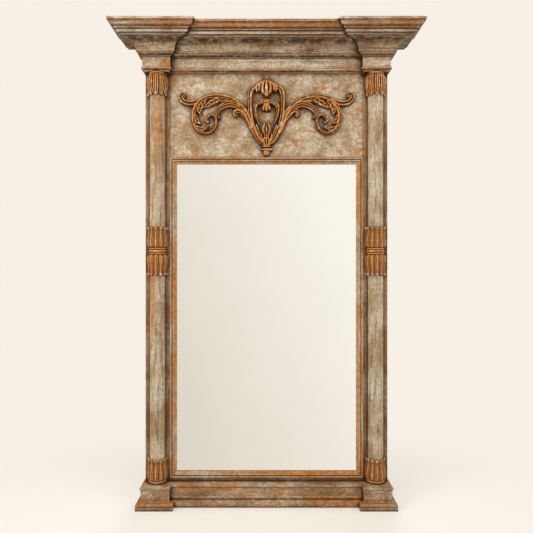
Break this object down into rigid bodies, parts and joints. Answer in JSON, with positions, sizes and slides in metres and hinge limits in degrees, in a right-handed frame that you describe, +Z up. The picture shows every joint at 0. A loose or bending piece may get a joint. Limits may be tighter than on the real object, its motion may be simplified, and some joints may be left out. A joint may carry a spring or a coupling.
{
  "type": "trumeau mirror",
  "caption": "Tall floor-standing trumeau mirror: half columns on plinths, breakfront cornice, and a carved scroll panel above one plain mirror pane.",
  "frame": {"origin": "centre of the overall box in X and Y, on the floor plane under the plinths", "axes": "+Z up, front of the mirror faces -Y, +X to the right as seen from the front"},
  "size_m": [1.205, 0.184, 1.89],
  "materials": {
    "painted_wood": "distressed grey-beige paint over orange-ochre ground with dark brown glaze in the recesses, bare at the back",
    "carved_gilding": "worn orange-gold on carved wood with dark brown glaze in the hollows and pale rubbed tips",
    "gilded_moulding": "orange-gold beads rubbed through to grey-beige and brown",
    "bare_pine": "bare planed pine",
    "backing_board": "brown hardboard",
    "silvered_glass": "clear silvered float glass without a bevel",
    "zinc_plated_steel": "bright zinc-plated steel",
    "brass_screws": "dull brass"
  },
  "bodies": {
    "frame": {"backing_board": "backing_board", "backing_screws": "brass_screws", "base_ledge": "painted_wood", "base_moulding": "painted_wood", "base_rail": "painted_wood", "bottom_rail": "painted_wood", "bottom_sight_moulding": "gilded_moulding", "cartouche": "carved_gilding", "centre_corona": "painted_wood", "centre_cove": "painted_wood", "centre_frieze": "painted_wood", "centre_lip": "painted_wood", "cross_rail": "bare_pine", "frieze_panel": "painted_wood", "header_rail": "painted_wood", "left_base_collar": "carved_gilding", "left_capital": "carved_gilding", "left_column_shaft": "painted_wood", "left_corona_front": "painted_wood", "left_corona_inner_return": "painted_wood", "left_corona_outer_return": "painted_wood", "left_cove_front": "painted_wood", "left_cove_inner_return": "painted_wood", "left_cove_outer_return": "painted_wood", "left_end_block": "painted_wood", "left_end_lip": "painted_wood", "left_hanger_strap": "zinc_plated_steel", "left_middle_collar": "carved_gilding", "left_plinth_base": "painted_wood", "left_plinth_block": "painted_wood", "left_plinth_cap": "painted_wood", "left_scroll": "carved_gilding", "left_sight_moulding": "gilded_moulding", "left_stile": "painted_wood", "mirror_glass": "silvered_glass", "right_base_collar": "carved_gilding", "right_capital": "carved_gilding", "right_column_shaft": "painted_wood", "right_corona_front": "painted_wood", "right_corona_inner_return": "painted_wood", "right_corona_outer_return": "painted_wood", "right_cove_front": "painted_wood", "right_cove_inner_return": "painted_wood", "right_cove_outer_return": "painted_wood", "right_end_block": "painted_wood", "right_end_lip": "painted_wood", "right_hanger_strap": "zinc_plated_steel", "right_middle_collar": "carved_gilding", "right_plinth_base": "painted_wood", "right_plinth_block": "painted_wood", "right_plinth_cap": "painted_wood", "right_scroll": "carved_gilding", "right_sight_moulding": "gilded_moulding", "right_stile": "painted_wood", "strap_screws": "zinc_plated_steel", "top_sight_moulding": "gilded_moulding"},
    "left_ring": {"left_hanger_ring": "zinc_plated_steel"},
    "right_ring": {"right_hanger_ring": "zinc_plated_steel"}
  },
  "joints": [
    {"name": "left_ring_swing", "type": "hinge", "parent": "frame", "child": "left_ring", "pos_m": [-0.42525, 0.0866, 1.528], "axis": [0, 0, 1], "range_deg": [0, 175]},
    {"name": "right_ring_swing", "type": "hinge", "parent": "frame", "child": "right_ring", "pos_m": [0.42525, 0.0866, 1.528], "axis": [0, 0, -1], "range_deg": [0, 175]}
  ]
}
